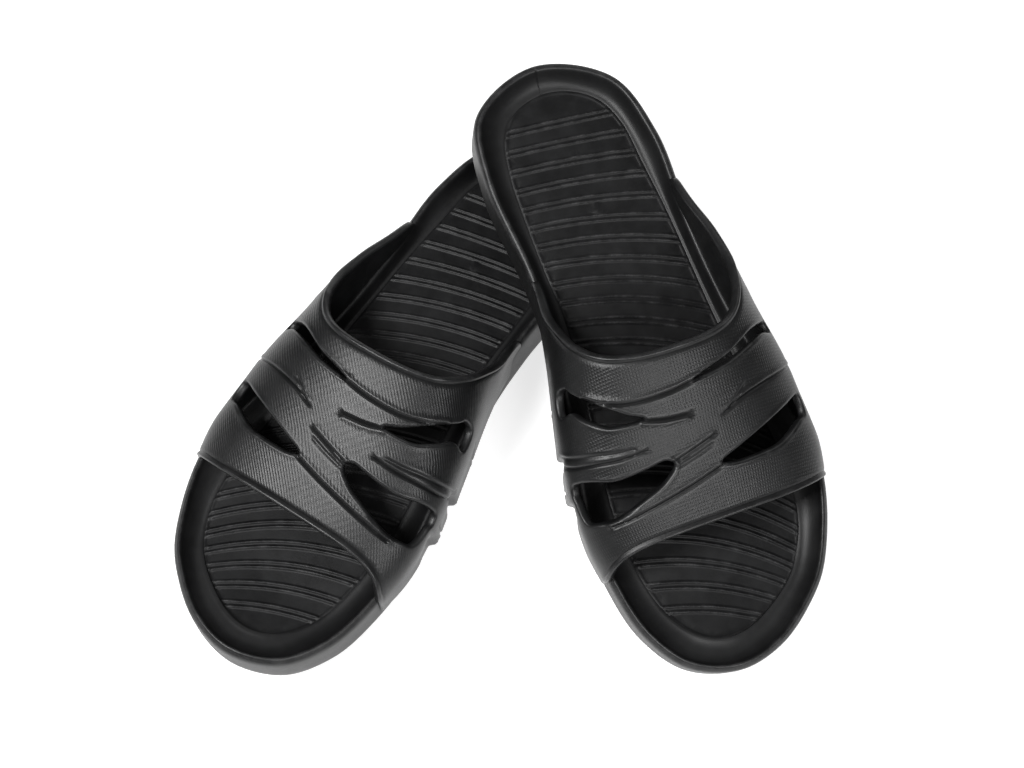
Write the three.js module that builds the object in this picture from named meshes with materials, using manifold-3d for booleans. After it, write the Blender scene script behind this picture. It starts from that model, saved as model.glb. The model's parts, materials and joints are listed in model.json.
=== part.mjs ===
// A pair of moulded slide sandals, men's size 42 to 43, resting as they were put down: the right one
// flat on the floor, the left one across it with its heel propped on the right one's heel.
// Units are millimetres, +Z is up, the toes point towards -Y.
// Each slide is drawn in its own frame as a left shoe: lateral side +X, heel +Y, tread on Z = 0.
// The right shoe is the same drawing mirrored in X.

import * as THREE from 'three';
import { mergeVertices } from 'three/addons/utils/BufferGeometryUtils.js';
import Module from 'manifold-3d';

// ---- driving dimensions -------------------------------------------------------------------------

const SOLE_LENGTH = 282;
const HEEL_HALF_WIDTH = 41;
const WAIST_HALF_WIDTH = 39.5;
const BALL_HALF_WIDTH = 53.5;
const HALF_LENGTH = SOLE_LENGTH / 2;

const TREAD_THICKNESS = 5;
const TREAD_INSET = 2.5;
const GROOVE_PITCH = 12;
const GROOVE_WIDTH = 3;
const GROOVE_DEPTH = 2.5;

const HEEL_FOOTBED_HEIGHT = 24;
const BALL_FOOTBED_HEIGHT = 19;
const RIM_ABOVE_FOOTBED = 7;
const RIM_WIDTH = 4;
const PANEL_BORDER = 13;
const PANEL_THICKNESS = 3;
const TOE_SPRING_START = -95;
const TOE_SPRING_HEIGHT = 8;

const UPPER_THICKNESS = 4;
const UPPER_REAR_CROWN = 78;
const UPPER_FRONT_CROWN = 48;
const UPPER_FRONT_Y = -79;
const UPPER_REAR_Y = 1;
const UPPER_ROUNDNESS = 2.5;
const SLOT_FLANK_FLOOR = 42;

const FLEX_LINE_Y = -91;
const FLEX_LINE_ANGLE = THREE.MathUtils.degToRad(8.5);
const FLEX_GAP = 1.6;

// Pieces are drawn this far into the sole body, then cut clear of it by the gap.
const ROOT = 1;
const JOINT_GAP = 0.3;
const OUTLINE_STEPS = 64;
const ARCH_STEPS = 34;
const BAND_STEPS = 6;

// Where the two slides lie on the floor.
const RIGHT_PLACE = { x: -54, y: 5, yaw: -33 };
const LEFT_PLACE = { x: 60.5, y: 16.5, yaw: 20.5, tilt: 12.5, roll: -2, lift: 1.8 };

const RUBBER = { color: 0x1b1b1c, roughness: 0.55, metalness: 0 };

// ---- curves that every layer follows ------------------------------------------------------------

// Plan outline of the sole at its widest level, counter-clockwise from the heel.
const OUTLINE = new THREE.CatmullRomCurve3(
  [
    [-5, HALF_LENGTH],
    [-37, 127],
    [-HEEL_HALF_WIDTH - 3, 97],
    [-WAIST_HALF_WIDTH - 1.5, 50],
    [-41.5, 20],
    [-48, -21],
    [-BALL_HALF_WIDTH - 1, -62],
    [-52.5, -94],
    [-47, -115],
    [-34.5, -133],
    [-14, -HALF_LENGTH],
    [6, -137.5],
    [24, -126.5],
    [39, -110.5],
    [BALL_HALF_WIDTH, -71],
    [49.5, -32],
    [41.5, 7],
    [WAIST_HALF_WIDTH - 1.5, 50],
    [HEEL_HALF_WIDTH - 3, 94],
    [28, 125],
  ].map(([x, y]) => new THREE.Vector3(x, y, 0)),
  true,
  'centripetal',
);

const outlinePoints = OUTLINE.getSpacedPoints(OUTLINE_STEPS).slice(0, OUTLINE_STEPS);

// The outline moved inwards by a distance, point for point.
function insetOutline(distance) {
  return outlinePoints.map((point, i) => {
    const before = outlinePoints[(i + OUTLINE_STEPS - 1) % OUTLINE_STEPS];
    const after = outlinePoints[(i + 1) % OUTLINE_STEPS];
    const along = after.clone().sub(before).normalize();
    return new THREE.Vector3(point.x - along.y * distance, point.y + along.x * distance, 0);
  });
}

// Half widths of the sole at a place along its length, as { lateral, medial } X values.
function soleEdgesAt(y) {
  const edges = { lateral: 0, medial: 0 };
  outlinePoints.forEach((point, i) => {
    const next = outlinePoints[(i + 1) % OUTLINE_STEPS];
    if ((point.y - y) * (next.y - y) <= 0 && point.y !== next.y) {
      const x = THREE.MathUtils.lerp(point.x, next.x, (y - point.y) / (next.y - point.y));
      edges.lateral = Math.max(edges.lateral, x);
      edges.medial = Math.min(edges.medial, x);
    }
  });
  return edges;
}

// How far the toe end of every layer curls up from the floor.
function toeSpring(y) {
  const run = Math.max(0, TOE_SPRING_START - y) / (HALF_LENGTH + TOE_SPRING_START);
  return TOE_SPRING_HEIGHT * run * run;
}

function footbedHeight(y) {
  const slope = THREE.MathUtils.smoothstep(y, -60, 60);
  return THREE.MathUtils.lerp(BALL_FOOTBED_HEIGHT, HEEL_FOOTBED_HEIGHT, slope) + toeSpring(y);
}

function rimHeight(y) {
  return footbedHeight(y) + RIM_ABOVE_FOOTBED;
}

// ---- solids -------------------------------------------------------------------------------------

// A closed surface through a stack of rings, each a list of points of the same length, with flat caps.
function loft(rings) {
  const count = rings[0].length;
  const positions = rings.flat().flatMap((point) => [point.x, point.y, point.z]);
  const index = [];
  for (let r = 0; r + 1 < rings.length; r += 1) {
    for (let i = 0; i < count; i += 1) {
      const j = (i + 1) % count;
      const [a, b, c, d] = [r * count + i, r * count + j, (r + 1) * count + i, (r + 1) * count + j];
      index.push(a, b, d, a, d, c);
    }
  }
  return { positions, index, count, rings: rings.length };
}

// Caps the open ends of a loft: `flatten` turns a ring into the 2-D outline that is triangulated.
function capLoft(shell, rings, flatten) {
  const last = (shell.rings - 1) * shell.count;
  for (const [ring, offset] of [[rings[0], 0], [rings.at(-1), last]]) {
    const flat = ring.map(flatten);
    const reversed = THREE.ShapeUtils.isClockWise(flat) !== (offset === 0);
    for (const [a, b, c] of THREE.ShapeUtils.triangulateShape(flat, [])) {
      shell.index.push(...(reversed ? [c, b, a] : [a, b, c]).map((i) => i + offset));
    }
  }
  const geometry = new THREE.BufferGeometry();
  geometry.setAttribute('position', new THREE.Float32BufferAttribute(shell.positions, 3));
  geometry.setIndex(shell.index);
  return geometry;
}

// A layer of the sole: rings given as [inset, height(y)] from the bottom up.
function soleLayer(levels) {
  const rings = levels.map(([inset, height]) =>
    insetOutline(inset).map((p) => new THREE.Vector3(p.x, p.y, height(p.y))));
  return capLoft(loft(rings), rings, (p) => new THREE.Vector2(p.x, p.y));
}

const wasm = await Module();
wasm.setup();

function toSolid(geometry) {
  const bare = geometry.clone();
  bare.deleteAttribute('normal');
  bare.deleteAttribute('uv');
  const merged = mergeVertices(bare, 1e-4);
  const mesh = new wasm.Mesh({
    numProp: 3,
    vertProperties: new Float32Array(merged.attributes.position.array),
    triVerts: new Uint32Array(merged.index.array),
  });
  return new wasm.Manifold(mesh);
}

function toGeometry(solid) {
  const mesh = solid.getMesh();
  const geometry = new THREE.BufferGeometry();
  geometry.setAttribute('position', new THREE.BufferAttribute(mesh.vertProperties, 3));
  geometry.setIndex(new THREE.BufferAttribute(mesh.triVerts, 1));
  return geometry;
}

// The same shape for the other foot: mirrored in X, with its faces turned out again.
function mirrored(geometry) {
  const copy = geometry.clone();
  const position = copy.attributes.position;
  for (let i = 0; i < position.count; i += 1) {
    position.setX(i, -position.getX(i));
  }
  const index = copy.index.array;
  for (let i = 0; i < index.length; i += 3) {
    [index[i], index[i + 1]] = [index[i + 1], index[i]];
  }
  return copy;
}

// ---- the sole: tread, body and footbed panel ----------------------------------------------------

function makeTread() {
  let tread = toSolid(soleLayer([
    [TREAD_INSET + 1, toeSpring],
    [TREAD_INSET, (y) => toeSpring(y) + 1],
    [TREAD_INSET, (y) => toeSpring(y) + TREAD_THICKNESS + ROOT],
  ])).subtract(soleBodyMoved(-JOINT_GAP));
  for (let y = TOE_SPRING_START - 3 * GROOVE_PITCH; y < HALF_LENGTH - 10; y += GROOVE_PITCH) {
    const groove = new THREE.BoxGeometry(4 * BALL_HALF_WIDTH, GROOVE_WIDTH, 2 * GROOVE_DEPTH);
    groove.translate(0, y, toeSpring(y));
    tread = tread.subtract(toSolid(groove));
  }
  return tread;
}

// A dish: the side wall bulges a little, the rim is rounded over, and the border slopes to the floor
// that the footbed panel lies on.
function soleBodyGeometry() {
  const bottom = (y) => toeSpring(y) + TREAD_THICKNESS + JOINT_GAP;
  const floor = (y) => footbedHeight(y) - PANEL_THICKNESS;
  return soleLayer([
    [TREAD_INSET, bottom],
    [0, (y) => bottom(y) + 4],
    [0.5, (y) => rimHeight(y) - 3],
    [1.8, rimHeight],
    [RIM_WIDTH, rimHeight],
    [RIM_WIDTH + 4, (y) => footbedHeight(y) + 1],
    [PANEL_BORDER - 1.5, footbedHeight],
    [PANEL_BORDER - JOINT_GAP, floor],
  ]);
}

// The sole body raised or lowered a little, to cut its neighbours clear of it.
function soleBodyMoved(rise) {
  return toSolid(soleBodyGeometry().translate(0, 0, rise));
}

function makeFootbed() {
  return toSolid(soleLayer([
    [PANEL_BORDER + JOINT_GAP, (y) => footbedHeight(y) - PANEL_THICKNESS - ROOT],
    [PANEL_BORDER, footbedHeight],
    [PANEL_BORDER + 1, (y) => footbedHeight(y) + 0.5],
  ])).subtract(soleBodyMoved(JOINT_GAP));
}

// Everything on one side of the flex line, which runs slightly aslant just ahead of the upper.
function sideOfFlexLine(forward) {
  const box = new THREE.BoxGeometry(3 * BALL_HALF_WIDTH, 2 * SOLE_LENGTH, SOLE_LENGTH);
  box.translate(0, (forward ? -1 : 1) * (SOLE_LENGTH + FLEX_GAP / 2), 0);
  box.rotateZ(FLEX_LINE_ANGLE);
  box.translate(0, FLEX_LINE_Y, 0);
  return toSolid(box);
}

// ---- the upper ----------------------------------------------------------------------------------

// Crown height of the upper at a place along the sole.
function crownHeight(y) {
  const rise = THREE.MathUtils.clamp((y - UPPER_FRONT_Y) / (UPPER_REAR_Y - UPPER_FRONT_Y), -0.2, 1.1);
  return THREE.MathUtils.lerp(UPPER_FRONT_CROWN, UPPER_REAR_CROWN, rise);
}

// Front and rear edge of the upper at an angle round the arch: 0 on the lateral rim, PI on the medial.
function bandEdges(angle) {
  const reach = Math.abs(Math.cos(angle));
  const lateral = Math.cos(angle) > 0;
  return {
    front: UPPER_FRONT_Y + (lateral ? 3 : -8) * reach ** 4,
    rear: UPPER_REAR_Y + (lateral ? 38 : 30) * reach ** 7 + 21 * reach ** 60,
  };
}

// A point of the upper's skin: `depth` is how far it lies below the outer face.
function skinPoint(angle, share, depth) {
  const { front, rear } = bandEdges(angle);
  const y = THREE.MathUtils.lerp(front, rear, share);
  const edges = soleEdgesAt(y);
  const foot = rimHeight(y) - ROOT;
  const crown = crownHeight(y) - depth;
  const round = 2 / UPPER_ROUNDNESS;
  const up = Math.abs(Math.sin(angle)) ** round;
  const out = Math.abs(Math.cos(angle)) ** round * Math.sign(Math.cos(angle));
  const bulge = out > 0
    ? 8 * THREE.MathUtils.smoothstep(y, -70, 0)
    : 6 * THREE.MathUtils.smoothstep(y, -110, -20);
  const spread = bulge * Math.min(1, 2.2 * up) - 0.6 - depth;
  const middle = (edges.lateral + edges.medial) / 2;
  const halfWidth = (edges.lateral - edges.medial) / 2 + spread;
  return new THREE.Vector3(middle + halfWidth * out, y, foot + (crown - foot) * up);
}

function makeUpper() {
  const rings = [];
  for (let i = 0; i <= ARCH_STEPS; i += 1) {
    const angle = (Math.PI * i) / ARCH_STEPS;
    const ring = [];
    for (let j = 0; j <= BAND_STEPS; j += 1) {
      ring.push(skinPoint(angle, j / BAND_STEPS, 0));
    }
    for (let j = BAND_STEPS; j >= 0; j -= 1) {
      ring.push(skinPoint(angle, j / BAND_STEPS, UPPER_THICKNESS));
    }
    rings.push(ring);
  }
  const shell = capLoft(loft(rings), rings, (p) => new THREE.Vector2(p.y, p.x));
  const band = toSolid(shell).subtract(soleBodyMoved(JOINT_GAP));
  return SLOTS.reduce((cut, slot) => cut.subtract(slotCutter(slot)), band);
}

// Openings through the upper, as plan outlines. Those on the medial flank run out past the side.
const SLOTS = [
  // Medial rear.
  [[-70, -5], [-47, -7], [-32, -23], [-20, -30], [-34, -28.5], [-48, -18], [-70, -17]],
  // Lateral rear.
  [[41, -8], [36, -8], [22, -16], [5, -21.5], [20, -20], [34, -15.5], [41, -13.5]],
  // Medial front.
  [[-70, -44], [-53, -44.5], [-38, -50], [-14, -50], [-15, -53], [-31, -61], [-45, -65], [-70, -62]],
  // Lateral front.
  [[46, -41], [43, -42], [26, -49], [6, -56], [8, -58.5], [33, -57.5], [46, -50]],
];

function slotCutter(points) {
  const shape = new THREE.Shape(points.map(([x, y]) => new THREE.Vector2(x, y)));
  const prism = new THREE.ExtrudeGeometry(shape, { depth: UPPER_REAR_CROWN, bevelEnabled: false });
  prism.translate(0, 0, SLOT_FLANK_FLOOR);
  return toSolid(prism);
}

// ---- one slide, then the pair -------------------------------------------------------------------

const wholeLayers = { tread: makeTread(), sole: toSolid(soleBodyGeometry()), footbed: makeFootbed() };
const pieces = { upper: makeUpper() };
for (const [name, solid] of Object.entries(wholeLayers)) {
  pieces[`rear_${name}`] = solid.intersect(sideOfFlexLine(false));
  pieces[`toe_${name}`] = solid.intersect(sideOfFlexLine(true));
}

function makeSlide(foot) {
  const slide = new THREE.Group();
  for (const [name, solid] of Object.entries(pieces)) {
    const geometry = toGeometry(solid);
    const material = new THREE.MeshStandardMaterial({ ...RUBBER, name: `${foot}_${name}` });
    const mesh = new THREE.Mesh(foot === 'right' ? mirrored(geometry) : geometry, material);
    mesh.name = `${foot}_${name}`;
    slide.add(mesh);
  }
  return slide;
}

const right = makeSlide('right');
right.position.set(RIGHT_PLACE.x, RIGHT_PLACE.y, 0);
right.rotation.z = THREE.MathUtils.degToRad(RIGHT_PLACE.yaw);

// The left slide turns about the place where its sprung toe touches the floor.
const tilt = THREE.MathUtils.degToRad(LEFT_PLACE.tilt);
const springRun = HALF_LENGTH + TOE_SPRING_START;
const touch = TOE_SPRING_START - (Math.tan(tilt) * springRun ** 2) / (2 * TOE_SPRING_HEIGHT);
const left = makeSlide('left');
left.position.set(0, -touch, -toeSpring(touch));
const leaning = new THREE.Group();
leaning.add(left);
leaning.rotation.set(tilt, THREE.MathUtils.degToRad(LEFT_PLACE.roll), 0);
leaning.position.set(0, touch, LEFT_PLACE.lift);
const turned = new THREE.Group();
turned.add(leaning);
turned.rotation.z = THREE.MathUtils.degToRad(LEFT_PLACE.yaw);
turned.position.set(LEFT_PLACE.x, LEFT_PLACE.y, 0);

// The frame's origin is on the floor under the middle of the pair.
const pair = new THREE.Group();
pair.add(right, turned);
const extent = new THREE.Box3().setFromObject(pair, true);
const centre = extent.getCenter(new THREE.Vector3());
pair.position.set(-centre.x, -centre.y, -extent.min.z);

export default pair;
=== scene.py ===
"""A pair of one-shot moulded slide sandals, lying crossed at the heel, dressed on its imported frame."""

import json
import logging
import math
from collections.abc import Callable, Sequence
from dataclasses import dataclass, field
from enum import Enum
from typing import NamedTuple

import bpy
import numpy as np
from mathutils import Euler, Matrix, Vector
from mathutils.geometry import delaunay_2d_cdt


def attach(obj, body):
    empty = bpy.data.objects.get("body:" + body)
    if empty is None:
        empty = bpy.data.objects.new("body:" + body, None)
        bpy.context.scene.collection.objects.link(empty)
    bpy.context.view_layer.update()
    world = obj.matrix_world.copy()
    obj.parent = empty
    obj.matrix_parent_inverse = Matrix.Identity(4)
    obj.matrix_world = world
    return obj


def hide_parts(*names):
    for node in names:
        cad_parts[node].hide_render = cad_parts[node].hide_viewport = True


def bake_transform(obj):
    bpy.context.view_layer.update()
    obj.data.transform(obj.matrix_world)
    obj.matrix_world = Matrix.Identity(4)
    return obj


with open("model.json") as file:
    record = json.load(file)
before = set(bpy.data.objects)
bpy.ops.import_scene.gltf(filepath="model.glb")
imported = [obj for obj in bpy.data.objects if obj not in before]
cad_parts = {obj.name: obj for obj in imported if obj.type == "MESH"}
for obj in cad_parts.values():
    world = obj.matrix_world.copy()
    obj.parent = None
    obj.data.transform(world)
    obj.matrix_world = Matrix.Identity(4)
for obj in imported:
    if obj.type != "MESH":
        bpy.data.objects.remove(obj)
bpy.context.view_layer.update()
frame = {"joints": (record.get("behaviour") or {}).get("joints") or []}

log = logging.getLogger("slides")

MM = 0.001
Numbers = np.ndarray


class Foot(Enum):
    """Which foot a slide is for."""

    LEFT = "left"
    RIGHT = "right"


class Side(Enum):
    """A side of the shoe, with the sign of X that it has on a left shoe."""

    LATERAL = 1
    MEDIAL = -1


# ---- plain shape arithmetic ---------------------------------------------------------------------


def smoothstep(x: Numbers, low: float, high: float) -> Numbers:
    """An eased ramp from 0 at low to 1 at high."""
    t = np.clip((x - low) / (high - low), 0, 1)
    return t * t * (3 - 2 * t)


def hump(distance: Numbers, half_width: float) -> Numbers:
    """A smooth ridge profile: 1 at the line, 0 from half_width outwards."""
    t = np.clip(distance / half_width, -1, 1)
    return (1 - t * t) ** 2


def rounded_edge(distance: Numbers, radius: float) -> Numbers:
    """How far a rounded edge falls below its face: 0 on the face, growing to radius at the edge."""
    t = np.clip(1 - distance / radius, 0, 1)
    return radius * (1 - np.sqrt(np.maximum(0, 1 - t * t)))


def along(points: Numbers, spacing: float, closed: bool = False) -> Numbers:
    """Points at an even spacing along a polyline.

    Args:
        points: corners of the line, one per row.
        spacing: wanted distance between points.
        closed: whether the last corner joins the first.

    Returns:
        The new points; a closed line doesn't repeat its first point.
    """
    line = np.vstack([points, points[:1]]) if closed else np.asarray(points, float)
    steps = np.hypot(*np.diff(line, axis=0).T)
    travelled = np.concatenate([[0], np.cumsum(steps)])
    count = max(2, int(round(travelled[-1] / spacing)))
    wanted = np.linspace(0, travelled[-1], count + 1)
    if closed:
        wanted = wanted[:-1]
    return np.column_stack([np.interp(wanted, travelled, line[:, k]) for k in range(2)])


def smooth_curve(corners: Sequence[tuple[float, float]], closed: bool, detail: int = 24) -> Numbers:
    """A centripetal curve through given points.

    Args:
        corners: the points it passes through.
        closed: whether it returns to its first point.
        detail: how many points it gets between two corners.

    Returns:
        The points of the curve.
    """
    p = np.asarray(corners, float)
    if closed:
        p = np.vstack([p[-1:], p, p[:2]])
    else:
        p = np.vstack([2 * p[:1] - p[1:2], p, 2 * p[-1:] - p[-2:-1]])
    made = []
    t = np.linspace(0, 1, detail, endpoint=False)[:, None]
    for p0, p1, p2, p3 in zip(p, p[1:], p[2:], p[3:]):
        runs = ((p0, p1), (p1, p2), (p2, p3))
        d0, d1, d2 = (math.sqrt(max(1e-6, np.hypot(*(b - a)))) for a, b in runs)
        leave = ((p1 - p0) / d0 - (p2 - p0) / (d0 + d1) + (p2 - p1) / d1) * d1
        arrive = ((p2 - p1) / d1 - (p3 - p1) / (d1 + d2) + (p3 - p2) / d2) * d1
        square, cube = t * t, t * t * t
        made.append(
            p1 * (2 * cube - 3 * square + 1)
            + leave * (cube - 2 * square + t)
            + p2 * (3 * square - 2 * cube)
            + arrive * (cube - square)
        )
    if not closed:
        made.append(p[-2:-1])
    return np.vstack(made)


def distance_to(points: Numbers, line: Numbers, closed: bool = False) -> tuple[Numbers, Numbers]:
    """Distance from points to a polyline, and on which side of it they lie.

    Args:
        points: the places to measure, one per row.
        line: the corners of the polyline.
        closed: whether its last corner joins the first.

    Returns:
        The distances, and +1 to the left of the line's direction or -1 to its right.
    """
    ends = np.vstack([line, line[:1]]) if closed else line
    best = np.full(len(points), 1e9)
    side = np.ones(len(points))
    for a, b in zip(ends, ends[1:]):
        run = b - a
        length = float(run @ run)
        if length < 1e-12:
            continue
        from_a = points - a
        t = np.clip(from_a @ run / length, 0, 1)
        gap = from_a - t[:, None] * run
        distance = np.hypot(gap[:, 0], gap[:, 1])
        nearer = distance < best
        best = np.where(nearer, distance, best)
        turn = run[0] * from_a[:, 1] - run[1] * from_a[:, 0]
        side = np.where(nearer, np.sign(turn), side)
    return best, side


def inside(points: Numbers, loop: Numbers) -> Numbers:
    """Whether each point lies within a closed loop.

    Args:
        points: the places to test, one per row.
        loop: the corners of the loop in order.

    Returns:
        True for each point inside.
    """
    x, y = points[:, 0], points[:, 1]
    found = np.zeros(len(points), bool)
    for (ax, ay), (bx, by) in zip(loop, np.roll(loop, -1, axis=0)):
        if ay == by:
            continue
        crosses = (ay > y) != (by > y)
        found ^= crosses & (x < (bx - ax) * (y - ay) / (by - ay) + ax)
    return found


# ---- the last: the form that every layer follows ------------------------------------------------


@dataclass
class Last:
    """The form of one slide, drawn as a left shoe in millimetres: lateral side +X, heel +Y."""

    half_length: float = 141.0
    heel_half_width: float = 41.0
    waist_half_width: float = 39.5
    ball_half_width: float = 53.5
    ball_height: float = 19.0
    heel_height: float = 24.0
    rim_above_footbed: float = 7.0
    spring_start: float = -95.0
    spring_height: float = 8.0
    front_y: float = -79.0
    rear_y: float = 1.0
    front_crown: float = 48.0
    rear_crown: float = 78.0
    around: int = 640
    outline: Numbers = field(init=False)
    inward: Numbers = field(init=False)
    panel: Numbers = field(init=False)
    border: Numbers = field(init=False)

    def __post_init__(self) -> None:
        """Draws the plan outline of the sole and the outline of its footbed panel."""
        heel, waist, ball = self.heel_half_width, self.waist_half_width, self.ball_half_width
        length = self.half_length
        corners = [
            (-5, length), (-37, 127), (-heel - 3, 97), (-waist - 1.5, 50), (-41.5, 20), (-48, -21),
            (-ball - 1, -62), (-52.5, -94), (-47, -115), (-34.5, -133), (-14, -length), (6, -137.5),
            (24, -126.5), (39, -110.5), (ball, -71), (49.5, -32), (41.5, 7), (waist - 1.5, 50),
            (heel - 3, 94), (28, 125),
        ]
        curve = smooth_curve(corners, closed=True)
        self.outline = along(curve, self._perimeter(curve) / self.around, closed=True)[: self.around]
        run = np.roll(self.outline, -3, axis=0) - np.roll(self.outline, 3, axis=0)
        run /= np.hypot(run[:, 0], run[:, 1])[:, None]
        self.inward = np.column_stack([-run[:, 1], run[:, 0]])
        self.panel = smooth_curve(
            [
                (-5, 128.5), (-20, 124), (-27.5, 114.5), (-31, 100), (-32, 80), (-32, 55), (-31, 30),
                (-33.5, 0), (-38, -35), (-40.5, -65), (-39, -90), (-32.5, -112), (-20, -125),
                (-6, -127), (8, -122), (25, -110), (35.5, -91), (39, -65), (37.5, -35), (34, 0),
                (31.8, 30), (30, 60), (27.5, 84), (25.5, 104), (19, 118), (8, 126),
            ],
            closed=True,
            detail=14,
        )
        self.border = self._reach_to_panel()

    @staticmethod
    def _perimeter(curve: Numbers) -> float:
        """Length once round a closed curve."""
        return float(np.hypot(*(curve - np.roll(curve, 1, axis=0)).T).sum())

    def _reach_to_panel(self) -> Numbers:
        """How far inwards the panel's edge lies from each point of the outline.

        Returns:
            One distance for each point of the outline, smoothed along it.
        """
        a, b = self.panel, np.roll(self.panel, -1, axis=0)
        run = b - a
        reach = np.full(len(self.outline), 14.0)
        for i, (p, n) in enumerate(zip(self.outline, self.inward)):
            across = n[0] * run[:, 1] - n[1] * run[:, 0]
            across = np.where(np.abs(across) < 1e-9, 1e-9, across)
            gap = a - p
            forward = (gap[:, 0] * run[:, 1] - gap[:, 1] * run[:, 0]) / across
            share = (gap[:, 0] * n[1] - gap[:, 1] * n[0]) / across
            hit = (forward > 1) & (share >= 0) & (share <= 1)
            if hit.any():
                reach[i] = forward[hit].min()
        kernel = np.hanning(25)[1:-1]
        kernel /= kernel.sum()
        padded = np.concatenate([reach[-11:], reach, reach[:11]])
        return np.convolve(padded, kernel, "valid")

    def spring(self, y: Numbers) -> Numbers:
        """How far the toe end of every layer curls up."""
        run = np.maximum(0, self.spring_start - y) / (self.half_length + self.spring_start)
        return self.spring_height * run * run

    def footbed(self, y: Numbers) -> Numbers:
        """Height of the footbed."""
        rise = self.heel_height - self.ball_height
        return self.ball_height + rise * smoothstep(y, -60, 60) + self.spring(y)

    def rim(self, y: Numbers) -> Numbers:
        """Height of the rim round the footbed."""
        return self.footbed(y) + self.rim_above_footbed

    def crown(self, y: Numbers) -> Numbers:
        """Height of the top of the upper."""
        share = np.clip((y - self.front_y) / (self.rear_y - self.front_y), -0.2, 1.1)
        return self.front_crown + (self.rear_crown - self.front_crown) * share

    def edge_at(self, y: Numbers, side: Side) -> Numbers:
        """X of the sole's edge on one side, at a place along its length.

        Args:
            y: the place along the length.
            side: which edge.

        Returns:
            The edge's X there.
        """
        toe, heel = int(self.outline[:, 1].argmin()), int(self.outline[:, 1].argmax())
        rolled = np.roll(self.outline, -heel, axis=0)
        toe = (toe - heel) % len(rolled)
        part = rolled[:toe + 1] if side is Side.MEDIAL else np.vstack([rolled[toe:], rolled[:1]])
        order = np.argsort(part[:, 1])
        return np.interp(y, part[order, 1], part[order, 0])


# ---- the skin of the upper ----------------------------------------------------------------------


class Top(NamedTuple):
    """A place on the upper given from above."""

    x: float
    y: float


class Flank(NamedTuple):
    """A place on the side of the upper given by its height."""

    side: Side
    z: float
    y: float


STRAP_FEET = ((34, -31, 0.5, 5.0), (-31, -50.5, 3.2, 4.2), (-50.5, -92, 1.6, 1.8))
"""For each strap's medial foot: the Y where it starts and ends, and how far it stands out there."""


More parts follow.
